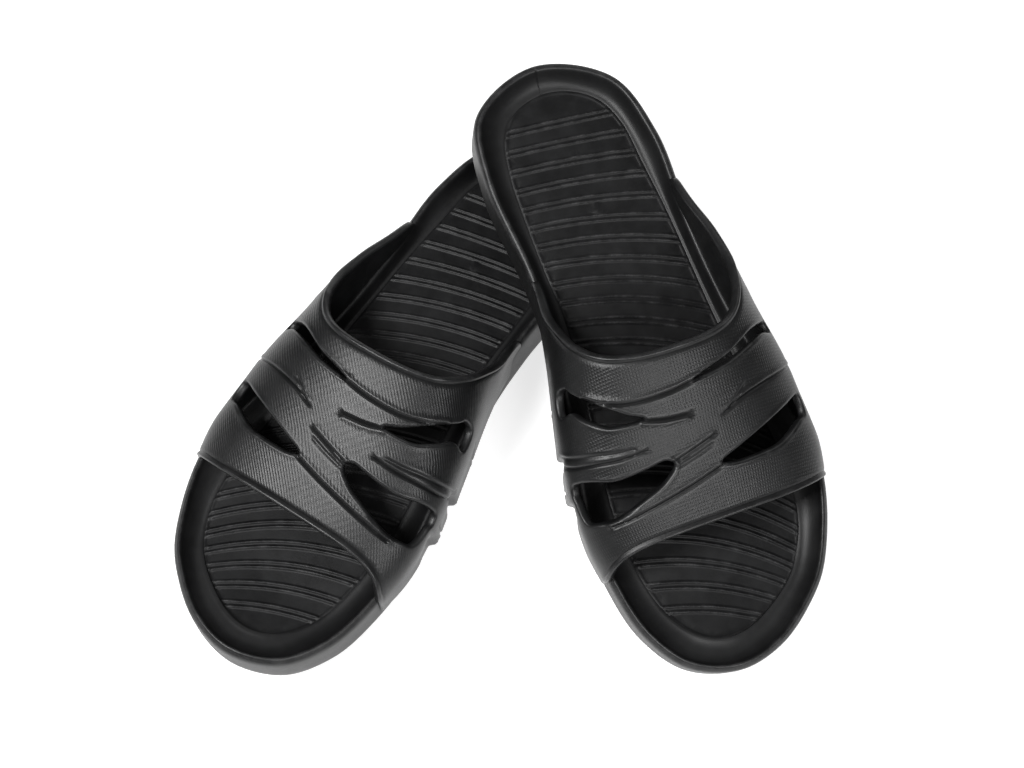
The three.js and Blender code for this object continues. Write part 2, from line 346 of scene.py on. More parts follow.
@dataclass
class Arch:
    """The outer surface of the upper, unrolled: u runs from the medial foot over the top, v is Y."""

    last: Last
    reach_down: float = 15.0
    foot_below_rim: float = 2.0
    width: float = 200.0
    medial_roundness: float = 3.0
    lateral_roundness: float = 2.35
    rear_roundness_loss: float = 0.55
    medial_bulge: float = 6.0
    lateral_bulge: float = 5.4
    wall_proud: float = 0.9
    wall_sunk: float = 0.6
    lateral_wall: tuple[float, float, float, float] = (-76.0, -56.0, 38.0, 68.0)
    medial_wall: tuple[float, float, float, float] = (-90.0, -70.0, 22.0, 44.0)
    wall_steps: int = 12
    collar_dip: float = 7.0
    medial_collar: tuple[float, float] = (32.0, 14.0)
    lateral_collar: tuple[float, float] = (38.0, 32.0)
    rows: Numbers = field(init=False)
    columns: Numbers = field(init=False)
    table: Numbers = field(init=False)

    def __post_init__(self) -> None:
        """Works out the surface on a fine lattice of u and v."""
        self.rows = np.arange(-104.0, 90.0, 1.0)
        self.columns = np.linspace(0, self.width, 401)
        share = self.columns / self.width
        layers = []
        for y in self.rows:
            x, z, turn = self._section(y)
            steps = np.hypot(np.diff(x), np.diff(z))
            travelled = np.concatenate([[0], np.cumsum(steps)])
            wanted = share * travelled[-1]
            layers.append([np.interp(wanted, travelled, each) for each in (x, z, turn)])
        self.table = np.array(layers)

    def _section(self, y: float) -> tuple[Numbers, Numbers, Numbers]:
        """One cross-section of the skin.

        Args:
            y: where it is taken.

        Returns:
            X, Z and the angle round the arch, from the medial wall's foot to the lateral wall's.
        """
        last = self.last
        medial, lateral = last.edge_at(y, Side.MEDIAL), last.edge_at(y, Side.LATERAL)
        foot = last.rim(y) - self.foot_below_rim
        turn = np.linspace(0, math.pi, 721)
        right = np.cos(turn) >= 0
        medial_roundness = self.medial_roundness - self.rear_roundness_loss * smoothstep(y, -45, 5)
        bend = 2 / np.where(right, self.lateral_roundness, medial_roundness)
        up = np.abs(np.sin(turn)) ** bend
        out = np.abs(np.cos(turn)) ** bend * np.sign(np.cos(turn))
        lateral_bulge = self.lateral_bulge * smoothstep(y, -75, -10) * (1 - 0.5 * smoothstep(y, 40, 70))
        medial_bulge = self.medial_bulge * smoothstep(y, -110, -20)
        medial_bulge = medial_bulge * (1 - 0.65 * smoothstep(y, -15, 28))
        flare = self._flare(y)
        raised = smoothstep(up, 0, 0.5)
        spread = np.where(right, lateral_bulge * raised, flare + (medial_bulge - flare) * raised)
        middle = (lateral + medial) / 2
        ranges = np.array([self.lateral_wall, self.medial_wall])[..., None]
        begins, stands, fades, ends = np.where(right, *ranges)
        standing = smoothstep(y, begins, stands) * (1 - smoothstep(y, fades, ends))
        rest = (self.wall_proud + self.wall_sunk) * standing - self.wall_sunk
        half = (lateral - medial) / 2 + spread + rest
        x = middle + half * out
        z = foot + (last.crown(y) - foot) * up
        drop = np.linspace(self.reach_down, 0, self.wall_steps, endpoint=False)
        wall = foot - drop
        on_medial, on_lateral = rest[-1], rest[0]
        fading = 1 - 0.4 * drop / self.reach_down
        medial_out = on_medial * fading + flare * (1 - smoothstep(drop, 7, self.reach_down))
        lateral_out = (on_lateral * fading)[::-1]
        low = np.concatenate([medial - medial_out, x[::-1], lateral + lateral_out])
        high = np.concatenate([wall, z[::-1], wall[::-1]])
        angle = np.concatenate([np.full(self.wall_steps, math.pi), turn[::-1], np.zeros(self.wall_steps)])
        return low, high, angle

    @staticmethod
    def _flare(y: float) -> float:
        """How far each strap's medial foot stands out, growing forwards to a step.

        Args:
            y: the place along the length.

        Returns:
            How far the wall stands out there.
        """
        rise = 0.0
        for start, stop, least, most in STRAP_FEET:
            share = min(max((start - y) / (start - stop), 0.0), 1.0)
            grown = least * smoothstep(share, 0, 0.3) + (most - least) * share
            rise = max(rise, float(grown * smoothstep(y, stop - 1.5, stop + 1.5)))
        return rise

    def read(self, u: Numbers, v: Numbers) -> Numbers:
        """X, Z and angle at places on the unrolled skin.

        Args:
            u: how far round the arch each place lies.
            v: its Y.

        Returns:
            One row of X, Z and angle for each place.
        """
        i = np.clip((v - self.rows[0]) / 1.0, 0, len(self.rows) - 1.001)
        j = np.clip(u / self.width * (len(self.columns) - 1), 0, len(self.columns) - 1.001)
        i0, j0 = i.astype(int), j.astype(int)
        a, b = (i - i0)[:, None], (j - j0)[:, None]
        t = self.table
        return (
            t[i0, :, j0] * (1 - a) * (1 - b)
            + t[i0 + 1, :, j0] * a * (1 - b)
            + t[i0, :, j0 + 1] * (1 - a) * b
            + t[i0 + 1, :, j0 + 1] * a * b
        )

    def point(self, u: Numbers, v: Numbers) -> Numbers:
        """Places in space for places on the unrolled skin."""
        read = self.read(u, v)
        return np.column_stack([read[:, 0], v, read[:, 1]])

    def normal(self, u: Numbers, v: Numbers) -> Numbers:
        """Outward directions of the skin.

        Args:
            u: how far round the arch each place lies.
            v: its Y.

        Returns:
            One unit vector for each place.
        """
        step = 1.5
        du = self.point(u + step, v) - self.point(u - step, v)
        dv = self.point(u, v + step) - self.point(u, v - step)
        n = np.cross(du, dv)
        n /= np.linalg.norm(n, axis=1)[:, None]
        return n

    def spot(self, place: Top | Flank) -> tuple[float, float]:
        """Where a place given from above or by height lies on the unrolled skin.

        Args:
            place: the place, by its X and Y or by its side, height and Y.

        Returns:
            Its u and v.
        """
        row = int(round(place.y - self.rows[0]))
        x, z = self.table[row, 0], self.table[row, 1]
        if isinstance(place, Flank):
            top = int(z.argmax())
            if place.side is Side.MEDIAL:
                return float(np.interp(place.z, z[:top], self.columns[:top])), place.y
            return float(np.interp(place.z, z[:top:-1], self.columns[:top:-1])), place.y
        low, high = int(x.argmin()), int(x.argmax())
        return float(np.interp(place.x, x[low:high], self.columns[low:high])), place.y

    def edge(self, rear: bool) -> Numbers:
        """The front or the rear edge of the upper, from the medial wall's foot to the lateral's.

        Args:
            rear: whether it is the rear edge.

        Returns:
            Its points on the unrolled skin.
        """
        u = self.columns
        v = np.full(len(u), self.last.rear_y if rear else self.last.front_y)
        for _ in range(12):
            turn = self.read(u, v)[:, 2]
            reach = np.abs(np.cos(turn))
            lateral = np.cos(turn) > 0
            if rear:
                (near, tail), (inner, wall) = self.lateral_collar, self.medial_collar
                wide = np.where(
                    lateral, near * reach**5 + tail * reach**36, inner * reach**4.6 + wall * reach**60
                )
                dip = self.collar_dip * hump(turn - math.radians(85), math.radians(52))
                v = 0.5 * v + 0.5 * (self.last.rear_y - dip + wide)
            else:
                v = 0.5 * v + 0.5 * (self.last.front_y + np.where(lateral, 3, -8) * reach**4)
        return np.column_stack([u, v])


# ---- a flat pattern raised into a solid skin ----------------------------------------------------


class Skin(NamedTuple):
    """A pattern's points and triangles."""

    points: Numbers
    triangles: Numbers

    def solid(self, outer: Numbers, inner: Numbers) -> tuple[Numbers, Numbers]:
        """Stitches an outer and an inner face into one closed shell.

        Args:
            outer: places of the points on the outer face.
            inner: places of the same points on the inner face.

        Returns:
            The vertices, and the triangles facing out.
        """
        triangles, count = self.triangles, len(self.points)
        sides = np.vstack([triangles[:, [0, 1]], triangles[:, [1, 2]], triangles[:, [2, 0]]])
        known = {(int(a), int(b)) for a, b in sides}
        wall = []
        for a, b in sorted((a, b) for a, b in known if (b, a) not in known):
            wall += [(b, a, a + count), (b, a + count, b + count)]
        faces = np.vstack([triangles, triangles[:, ::-1] + count, np.array(wall)])
        return np.vstack([outer, inner]), faces


@dataclass
class Pattern:
    """A flat shape with holes and drawn lines, meshed finely where something happens."""

    outline: Numbers
    holes: list[Numbers] = field(default_factory=list)
    lines: list[Numbers] = field(default_factory=list)
    grid: float = 1.6
    edge_rows: tuple[float, ...] = (0.4, 0.8, 1.3, 1.9, 2.7, 3.5)
    line_rows: tuple[float, ...] = (0.0, 0.45, 0.9, 1.4, 2.0, 2.7)
    least_gap: float = 0.3
    row_step: float = 1.0

    def mesh(self) -> Skin:
        """Triangulates the shape.

        Returns:
            Its points, and its triangles turned anticlockwise.
        """
        outer = along(self.outline, self.row_step, closed=True)
        holes = [along(hole, self.row_step, closed=True) for hole in self.holes]
        loops = [outer, *holes]
        offered = [np.vstack(loops)]
        for line in self.lines:
            for row in self.line_rows:
                for sign in (1, -1) if row else (1,):
                    offered.append(self._beside(along(line, self.row_step), sign * row, False))
        for loop in loops:
            for row in self.edge_rows:
                offered.append(self._beside(loop, row, True))
                offered.append(self._beside(loop, -row, True))
        offered.append(self._lattice(loops))
        points = self._thinned(np.vstack(offered), len(offered[0]), loops)
        edges, start = [], 0
        for loop in loops:
            n = len(loop)
            edges += [(start + k, start + (k + 1) % n) for k in range(n)]
            start += n
        found, _, faces, *_ = delaunay_2d_cdt([Vector(p) for p in points], edges, [], 1, 1e-5)
        flat = np.array([tuple(p) for p in found])
        triangles = np.array([tuple(f) for f in faces])
        centres = flat[triangles].mean(axis=1)
        keep = inside(centres, outer)
        for hole in holes:
            keep &= ~inside(centres, hole)
        triangles = triangles[keep]
        a, b, c = (flat[triangles[:, k]] for k in range(3))
        area = (b[:, 0] - a[:, 0]) * (c[:, 1] - a[:, 1]) - (b[:, 1] - a[:, 1]) * (c[:, 0] - a[:, 0])
        triangles[area < 0] = triangles[area < 0][:, ::-1]
        used, compact = np.unique(triangles, return_inverse=True)
        return Skin(flat[used], compact.reshape(-1, 3))

    @staticmethod
    def _beside(line: Numbers, offset: float, closed: bool) -> Numbers:
        """A line moved sideways, towards its left.

        Args:
            line: the points of the line.
            offset: how far it moves; a negative offset goes to its right.
            closed: whether its last point joins the first.

        Returns:
            The moved points.
        """
        if closed:
            run = np.roll(line, -1, axis=0) - np.roll(line, 1, axis=0)
        else:
            run = np.gradient(line, axis=0)
        run /= np.maximum(1e-9, np.hypot(run[:, 0], run[:, 1]))[:, None]
        return line + offset * np.column_stack([-run[:, 1], run[:, 0]])

    def _lattice(self, loops: list[Numbers]) -> Numbers:
        """A plain hexagonal lattice of points that keeps off the lines.

        Args:
            loops: the shape's outline and holes.

        Returns:
            The points.
        """
        low, high = self.outline.min(axis=0), self.outline.max(axis=0)
        rise = self.grid * math.sqrt(3) / 2
        rows = []
        for k, y in enumerate(np.arange(low[1], high[1], rise)):
            x = np.arange(low[0] + (k % 2) * self.grid / 2, high[0], self.grid)
            rows.append(np.column_stack([x, np.full(len(x), y)]))
        points = np.vstack(rows)
        keep = np.ones(len(points), bool)
        for loop in loops:
            keep &= distance_to(points, along(loop, 2.0, closed=True), True)[0] > self.edge_rows[-1] + 0.5
        for line in self.lines:
            keep &= distance_to(points, along(line, 2.0))[0] > self.line_rows[-1] + 0.5
        return points[keep]

    def _thinned(self, points: Numbers, fixed: int, loops: list[Numbers]) -> Numbers:
        """Drops points outside the shape or crowding one that came earlier.

        Args:
            points: the offered points, the ones on the loops first.
            fixed: how many of them always stay.
            loops: the shape's outline and holes.

        Returns:
            The points that stay.
        """
        keep = inside(points, loops[0])
        for hole in loops[1:]:
            keep &= ~inside(points, hole)
        keep[:fixed] = True
        cells = np.floor(points / self.least_gap).astype(int)
        near = [(i, j) for i in (-1, 0, 1) for j in (-1, 0, 1)]
        taken: dict[tuple[int, int], list[int]] = {}
        chosen = []
        for k in np.flatnonzero(keep):
            i, j = int(cells[k, 0]), int(cells[k, 1])
            x, y = points[k]
            close = (points[m] for di, dj in near for m in taken.get((i + di, j + dj), ()))
            if k >= fixed and any(math.hypot(px - x, py - y) < self.least_gap for px, py in close):
                continue
            taken.setdefault((i, j), []).append(int(k))
            chosen.append(k)
        return points[chosen]


# ---- where a slide lies -------------------------------------------------------------------------


@dataclass(frozen=True)
class Placement:
    """How a slide lies on the floor; its place comes from its own toe joint in the frame."""

    foot: Foot
    yaw: float
    tilt: float = 0.0
    roll: float = 0.0
    hinge_y: float = -91.0
    hinge_z: float = 23.0
    bend_behind: float = 0.002
    bend_ahead: float = 0.030

    def matrix(self) -> Matrix:
        """The transform from the drawing in millimetres to the frame in metres.

        Returns:
            The transform, which also mirrors the drawing for a right foot.
        """
        turned = Euler((0, 0, math.radians(self.yaw))).to_matrix()
        leaned = Euler((math.radians(self.tilt), 0, 0)).to_matrix()
        rolled = Euler((0, math.radians(self.roll), 0)).to_matrix()
        turn = (turned @ leaned @ rolled).to_4x4()
        if self.foot is Foot.RIGHT:
            turn = turn @ Matrix.Diagonal((-1, 1, 1, 1))
        shape = turn @ Matrix.Scale(MM, 4)
        hinge = Vector(self.joint()["pos_m"])
        return Matrix.Translation(hinge - shape @ Vector((0, self.hinge_y, self.hinge_z))) @ shape

    def joint(self) -> dict:
        """The record's toe joint of this slide."""
        return next(j for j in frame["joints"] if j["name"] == f"{self.foot.value}_toe_flex")

    def bend_line(self) -> tuple[Vector, Vector]:
        """Two places along the toe's direction, just behind and ahead of the toe joint's hinge.

        Returns:
            The two places, in metres in the shared frame.
        """
        hinge = Vector(self.joint()["pos_m"])
        toe = (self.matrix().to_3x3() @ Vector((0, -1, 0))).normalized()
        axis = Vector(self.joint()["axis"]).normalized()
        ahead = (toe - axis * toe.dot(axis)).normalized()
        return hinge - ahead * self.bend_behind, hinge + ahead * self.bend_ahead


# ---- materials ----------------------------------------------------------------------------------


class Wire:
    """An output socket that can be used in arithmetic; each operation adds its Math node."""

    def __init__(self, sheet: "Dye", socket: bpy.types.NodeSocket) -> None:
        """Wraps an output socket of the sheet's node tree."""
        self.sheet = sheet
        self.socket = socket

    def _math(self, operation: str, first: "Wire | float", second: "Wire | float") -> "Wire":
        """A Math node on two values."""
        return self.sheet.node("ShaderNodeMath", {"operation": operation}, {0: first, 1: second})

    def __add__(self, other: "Wire | float") -> "Wire":
        """The sum."""
        return self._math("ADD", self, other)

    __radd__ = __add__

    def __mul__(self, other: "Wire | float") -> "Wire":
        """The product."""
        return self._math("MULTIPLY", self, other)

    __rmul__ = __mul__

    def __sub__(self, other: "Wire | float") -> "Wire":
        """The difference."""
        return self._math("SUBTRACT", self, other)

    def __rsub__(self, other: "Wire | float") -> "Wire":
        """The difference, with the number first."""
        return self._math("SUBTRACT", other, self)

    def at_most(self, other: "Wire | float") -> "Wire":
        """The smaller of the two."""
        return self._math("MINIMUM", self, other)

    def at_least(self, other: "Wire | float") -> "Wire":
        """The larger of the two."""
        return self._math("MAXIMUM", self, other)

    def wave(self) -> "Wire":
        """A sine of the value, brought to the range 0 to 1."""
        return self._math("SINE", self, 0.0) * 0.5 + 0.5


class Dye:
    """The node tree of one material."""

    def __init__(self, name: str) -> None:
        """Starts a material with an empty tree.

        Args:
            name: the material's name.
        """
        self.material = bpy.data.materials.new(name)
        self.material.use_nodes = True
        self.tree = self.material.node_tree
        self.tree.nodes.clear()

    def node(
        self,
        kind: str,
        settings: dict[str, object] | None = None,
        sockets: dict[int | str, object] | None = None,
        output: int | str = 0,
    ) -> Wire:
        """Adds a node.

        Args:
            kind: the node's type name.
            settings: its own settings.
            sockets: values or wires for its inputs.
            output: which output to return.

        Returns:
            The chosen output.
        """
        made = self.tree.nodes.new(kind)
        for key, value in (settings or {}).items():
            setattr(made, key, value)
        for key, value in (sockets or {}).items():
            if isinstance(value, Wire):
                self.tree.links.new(value.socket, made.inputs[key])
            else:
                made.inputs[key].default_value = value
        return Wire(self, made.outputs[output]) if made.outputs else Wire(self, None)

    def noise(self, place: Wire, scale: float, detail: float = 3.0, rough: float = 0.55) -> Wire:
        """Fractal noise over the surface, from 0 to 1."""
        return self.node(
            "ShaderNodeTexNoise", {}, {"Vector": place, "Scale": scale, "Detail": detail, "Roughness": rough}
        )

    def between(self, low: float, high: float, value: Wire) -> Wire:
        """An eased step from 0 at low to 1 at high."""
        return self.node(
            "ShaderNodeMapRange",
            {"interpolation_type": "SMOOTHSTEP"},
            {"Value": value, "From Min": low, "From Max": high},
        )

    def blend(self, factor: Wire, first: object, second: object) -> Wire:
        """A mix of two colours."""
        return self.node(
            "ShaderNodeMix", {"data_type": "RGBA"}, {0: factor, 6: first, 7: second}, output=2
        )


@dataclass(frozen=True)
class BlackRubber:
    """Black moulded polymer: a satin skin, cloudy in tone, paler and smoother where edges are worn; the paler
    scuff colour also paints a highlight on the footbed's rib tops, and the cloth imprint's hollows get
    painted shade.
    """

    name: str
    deep: tuple[float, float, float, float] = (0.0028, 0.0028, 0.003, 1)
    worn: tuple[float, float, float, float] = (0.0075, 0.0076, 0.0079, 1)
    scuff_and_highlight_tone: tuple[float, float, float, float] = (0.05, 0.05, 0.051, 1)
    roughness: float = 0.42
    roughness_spread: float = 0.16
    sheen_level: float = 0.42
    weave_pitch: float = 0.0
    weave_height: float = 0.075
    weave_angle: float = 0.0
    pips: bool = False
    cloud_scale: float = 0.035
    blotch_scale: float = 0.16
    speckle_scale: float = 1.7
    grain_scale: float = 3.4
    grain_height: float = 0.05
    cloud_height: float = 0.25

    def make(self) -> bpy.types.Material:
        """Builds the material.

        Returns:
            A material that reads a piece's own "pattern" place and its "edge" and "cloth" amounts.
        """
        dye = Dye(self.name)
        place = dye.node("ShaderNodeAttribute", {"attribute_name": "pattern"}, output="Vector")
        edge = dye.node("ShaderNodeAttribute", {"attribute_name": "edge"}, output="Fac")
        cloth = dye.node("ShaderNodeAttribute", {"attribute_name": "cloth"}, output="Fac")
        clouds = dye.noise(place, self.cloud_scale, 4.0, 0.6)
        blotches = dye.noise(place, self.blotch_scale, 3.0)
        speckle = dye.noise(place, self.speckle_scale, 2.0, 0.7)
        grain = dye.noise(place, self.grain_scale, 3.0, 0.65)
        tone = dye.between(0.32, 0.72, clouds * 0.6 + blotches * 0.4)
        colour = dye.blend(tone, self.deep, self.worn)
        # paler scuff colour where the edge amount is high: real wear on edges and rims, and a painted
        # highlight on the footbed's rib tops
        scuff_and_highlight_share = (edge * dye.between(0.42, 0.7, speckle * 0.5 + blotches * 0.5)).at_most(1.0) * 0.5
        colour = dye.blend(scuff_and_highlight_share, colour, self.scuff_and_highlight_tone)
        rough = (clouds - 0.5) * self.roughness_spread + self.roughness + (speckle - 0.5) * 0.08
        rough = rough - edge * 0.05
        height = grain * self.grain_height + clouds * self.cloud_height
        if self.weave_pitch:
            woven = self._weave(dye, place)
            height = height + woven * cloth * self.weave_height
            rough = rough + cloth * (0.5 - woven) * 0.10
            # painted shade: the hollows of the cloth imprint are darkened towards the deep colour
            colour = dye.blend(cloth * (1 - woven) * 0.45, colour, self.deep)
        bump = dye.node("ShaderNodeBump", {}, {"Strength": 1.0, "Distance": MM, "Height": height})
        shader = dye.node(
            "ShaderNodeBsdfPrincipled",
            {},
            {
                "Base Color": colour,
                "Roughness": rough.at_least(0.2).at_most(0.9),
                "Normal": bump,
                "Specular IOR Level": self.sheen_level,
                "IOR": 1.47,
            },
        )
        dye.node("ShaderNodeOutputMaterial", {}, {"Surface": shader})
        return dye.material

    def _weave(self, dye: Dye, place: Wire) -> Wire:
        """The fine cloth imprint of the mould: slanting threads, or rows of small pips.

        Args:
            dye: the material's sheet.
            place: the piece's own coordinates in millimetres.

        Returns:
            Its height from 0 to 1.
        """
        turned = dye.node(
            "ShaderNodeVectorRotate",
            {"rotation_type": "Z_AXIS"},
            {"Vector": place, "Angle": math.radians(self.weave_angle)},
        )
        x = dye.node("ShaderNodeSeparateXYZ", {}, {0: turned}, output=0)
        y = dye.node("ShaderNodeSeparateXYZ", {}, {0: turned}, output=1)
        turns = 2 * math.pi / self.weave_pitch
        rows = (x * turns).wave()
        crossing = (y * turns * (0.95 if self.pips else 0.45)).wave()
        if self.pips:
            return rows * crossing
        return rows * (crossing * 0.35 + 0.65)


# ---- pieces -------------------------------------------------------------------------------------


def put(name: str, data: bpy.types.ID) -> bpy.types.Object:
    """Puts data into the scene as an object.

    Args:
        name: the object's name.
        data: its mesh, lamp or camera.

    Returns:
        The object.
    """
    made = bpy.data.objects.new(name, data)
    bpy.context.scene.collection.objects.link(made)
    return made


@dataclass
class Moulding:
    """One finished piece: its shell in the slide's drawing, ready to be set in the frame."""

    name: str
    vertices: Numbers
    faces: Sequence[Sequence[int]]
    pattern: Numbers
    edge: Numbers
    cloth: Numbers | None = None
    crease: float = 38.0

    def place(self, placement: Placement, material: bpy.types.Material) -> bpy.types.Object:
        """Makes the object.

        Args:
            placement: how its slide lies.
            material: what it is made of.

        Returns:
            The object, in metres in the shared frame.
        """
        turned = placement.foot is Foot.RIGHT
        mesh = bpy.data.meshes.new(self.name)
        faces = [tuple(int(i) for i in f) for f in self.faces]
        if turned:
            faces = [f[::-1] for f in faces]
        mesh.from_pydata(self.vertices.tolist(), [], faces)
        mesh.transform(placement.matrix())
        mesh.polygons.foreach_set("use_smooth", [True] * len(mesh.polygons))
        mesh.set_sharp_from_angle(angle=math.radians(self.crease))
        spot = mesh.attributes.new("pattern", "FLOAT_VECTOR", "POINT")
        spot.data.foreach_set("vector", self.pattern.astype(np.float32).ravel())
        for name, values in (("edge", self.edge), ("cloth", self.cloth)):
            if values is not None:
                amount = mesh.attributes.new(name, "FLOAT", "POINT")
                amount.data.foreach_set("value", values.astype(np.float32))
        mesh.materials.append(material)
        mesh.update()
        return put(self.name, mesh)


@dataclass
class Sole:
    """The body of the sole: side wall, rim with its lip, and the border that slopes to the panel."""

    last: Last
    tread_top: float = 5.2
    lip_height: float = 0.75
    floor_depth: float = 2.6

    def _rings(self) -> list[tuple[Numbers, Numbers, float]]:
        """The rings of the dish from its underside to its floor.

        Returns:
            For each ring: how far in from the outline it lies, its height, and how worn it gets.
        """
        last = self.last
        y = last.outline[:, 1]
        bottom = last.spring(y) + self.tread_top
        rim, bed, reach = last.rim(y), last.footbed(y), last.border
        whole = np.ones(len(y))
        toe = smoothstep(-y, 60, 92)
        lip = self.lip_height * (0.35 + 0.65 * toe)
        # the rounded foot of the side wall, then the wall itself
        rings = [
            (2.6 * whole, bottom, 0.0),
            (1.1 * whole, bottom + 0.25, 0.1),
            (0.45 * whole, bottom + 0.9, 0.5),
            (0.2 * whole, bottom + 2.2, 0.2),
            (0.0 * whole, bottom + 4.5, 0.0),
        ]
        for share in (0.2, 0.4, 0.6, 0.8):
            height = bottom + 4.5 + (rim - 3.4 - bottom - 4.5) * share
            rings.append((0.35 * share * whole, height, 0.0))
        # its shoulder, and the lip along the rim
        for inset, drop, wear_and_highlight in (
            (0.4, 3.2, 0.0), (0.55, 2.2, 0.2), (0.85, 1.3, 0.5), (1.25, 0.7, 0.8), (1.7, 0.3, 1.0),
        ):
            rings.append((inset * whole, rim - drop, wear_and_highlight))
        for inset, share, wear_and_highlight in (
            (2.1, 0.35, 1.0), (2.5, 0.8, 1.0), (2.9, 1.0, 1.0), (3.3, 0.85, 1.0), (3.7, 0.3, 0.7),
        ):
            rings.append((inset * whole, rim - 0.1 + lip * share, wear_and_highlight))
        rings.append((4.1 * whole, rim - 0.55 - 0.5 * toe, 0.2))
        # the border that slopes down to the panel, and the recess under the panel
        start, top = 4.5, rim - 1.1 - 0.7 * toe
        for share in (0.0, 0.08, 0.18, 0.3, 0.42, 0.55, 0.68, 0.8, 0.9, 0.96):
            fall = 1 - (1 - share) ** 2.1
            rings.append((start + (reach - 0.4 - start) * share, top + (bed + 0.1 - top) * fall, 0.0))
        rings.append((reach + 0.2, bed, 0.0))
        rings.append((reach + 0.9, bed - 0.4, 0.0))
        rings.append((reach + 1.1, bed - self.floor_depth - last.spring(y), 0.0))
        return rings

    def build(self, name: str) -> Moulding:
        """Lofts the dish and closes it above and below.

        Args:
            name: the piece's name.

        Returns:
            The piece.
        """
        last = self.last
        n = last.around
        rings = self._rings()
        around = np.concatenate([[0], np.cumsum(np.hypot(*np.diff(last.outline, axis=0).T))])
        vertices, pattern, wear_and_highlight, climbed = [], [], [], 0.0
        previous = None
        for inset, height, worn in rings:
            flat = last.outline + last.inward * inset[:, None]
            ring = np.column_stack([flat, height])
            if previous is not None:
                climbed += float(np.linalg.norm(ring - previous, axis=1).mean())
            previous = ring
            vertices.append(ring)
            pattern.append(np.column_stack([around, np.full(n, climbed), np.zeros(n)]))
            wear_and_highlight.append(np.full(n, worn))
        faces: list[tuple[int, ...]] = []
        for r in range(len(rings) - 1):
            low, high = r * n, (r + 1) * n
            for i in range(n):
                j = (i + 1) % n
                faces.append((low + i, low + j, high + j, high + i))
        top = (len(rings) - 1) * n
        for i in range(n // 2):
            a, b, c, d = i, i + 1, n - i - 1, (n - i) % n
            lid = (a, b, d) if b == c else (a, b, c) if i == 0 else (a, b, c, d)
            faces.append(tuple(top + k for k in lid))
            faces.append(tuple(lid[::-1]))
        return Moulding(name, np.vstack(vertices), faces, np.vstack(pattern), np.concatenate(wear_and_highlight))


@dataclass
class Footbed:
    """The panel that the foot rests on, with its pairs of fine slanting ribs."""

    last: Last
    thickness: float = 2.4
    first_rib: float = 113.3
    rib_gap: float = 9.35
    pair_gap: float = 2.45
    rib_height: float = 0.75
    rib_half_width: float = 0.85
    rib_reach: float = 64.0
    outline_height: float = 0.45
    outline_inset: float = 0.9
    gate: tuple[float, float] = (0.9, 70.4)
    gate_radius: float = 2.1
    gate_height: float = 0.55
    nick: tuple[float, float] = (-0.2, 97.2)
    nick_radius: float = 1.0
    nick_height: float = 0.4

    @staticmethod
    def slant(y: float) -> float:
        """Angle of a rib's chord to the shoe's width; ribs lean more towards the toe."""
        return math.radians(float(np.interp(y, [-80, -20, 45, 85, 125], [-31, -26, -17.5, -10, -5])))

    def _rib_pair(self, y: float) -> Numbers:
        """The middle line of a pair of ribs, a gentle arc that bows towards the heel.

        Args:
            y: where the pair crosses the middle of the panel.

        Returns:
            The points of the line.
        """
        angle = self.slant(y)
        bow = float(np.interp(y, [-90, 40, 80, 115], [0.0042, 0.0030, 0.0018, 0.0004]))
        t = np.linspace(-self.rib_reach, self.rib_reach, 65)
        side = -bow * np.minimum(t * t, 48 * 48)
        return np.column_stack([
            t * math.cos(angle) - side * math.sin(angle),
            y + t * math.sin(angle) + side * math.cos(angle),
        ])

    def ribs(self) -> list[Numbers]:
        """The middle lines of all pairs of ribs, as far as they cross the panel.

        Returns:
            One line for each pair, from the heel to the toe.
        """
        made = []
        y = self.first_rib
        while y > -130:
            line = along(self._rib_pair(y), 1.0)
            within = np.flatnonzero(inside(line, self.last.panel))
            if len(within) > 12:
                made.append(line[max(0, within[0] - 2):within[-1] + 3])
            y -= self.rib_gap / math.cos(self.slant(y))
        return made

    def build(self, name: str) -> Moulding:
        """Raises the panel with its ribs, outline bead and gate mark.

        Args:
            name: the piece's name.

        Returns:
            The piece.
        """
        last = self.last
        ribs = self.ribs()
        pattern = Pattern(
            last.panel, lines=ribs, grid=2.4, edge_rows=(0.4, 0.8, 1.2, 1.7, 2.3),
            line_rows=(0.0, 0.4, 0.8, 1.22, 1.65, 2.1, 2.6), row_step=1.2, least_gap=0.26,
        )
        skin = pattern.mesh()
        p = skin.points
        height = np.zeros(len(p))
        edge, _ = distance_to(p, last.panel, True)
        wear_and_highlight = np.zeros(len(p))
        for rib in ribs:
            close = (p[:, 1] > rib[:, 1].min() - 4) & (p[:, 1] < rib[:, 1].max() + 4)
            distance, _ = distance_to(p[close], rib)
            ridge = hump(distance - self.pair_gap / 2, self.rib_half_width)
            height[close] = np.maximum(height[close], self.rib_height * ridge)
            # painted highlight: the rib tops are marked for the paler scuff colour, in patches, to stand for
            # the light lines along the ribs
            wear_and_highlight[close] = np.maximum(wear_and_highlight[close], ridge)
        bead = hump(edge - self.outline_inset, 0.9)
        height += self.outline_height * bead - 0.15 * hump(edge - 2.2, 0.8)
        height *= smoothstep(edge, 0.3, 2.2)
        height -= 0.3 * rounded_edge(edge, 0.4)
        for centre, radius, ring in (
            (self.gate, self.gate_radius, self.gate_height), (self.nick, self.nick_radius, self.nick_height),
        ):
            away = np.hypot(p[:, 0] - centre[0], p[:, 1] - centre[1])
            height += ring * hump(away - radius, 0.8) - 0.5 * ring * (away < radius - 0.6)
        bed = last.footbed(p[:, 1])
        outer = np.column_stack([p, bed + height])
        inner = np.column_stack([p, bed - self.thickness])
        vertices, faces = skin.solid(outer, inner)
        flat = np.column_stack([np.vstack([p, p]), np.zeros(2 * len(p))])
        # the edge amount here is the painted rib-top highlight, plus slight wear on the outline bead
        wear_and_highlight = wear_and_highlight * smoothstep(edge, 0.5, 2.5) + 0.15 * bead
        worn = np.concatenate([np.clip(wear_and_highlight, 0, 1), np.zeros(len(p))])
        return Moulding(name, vertices, faces, flat, worn, crease=88.0)


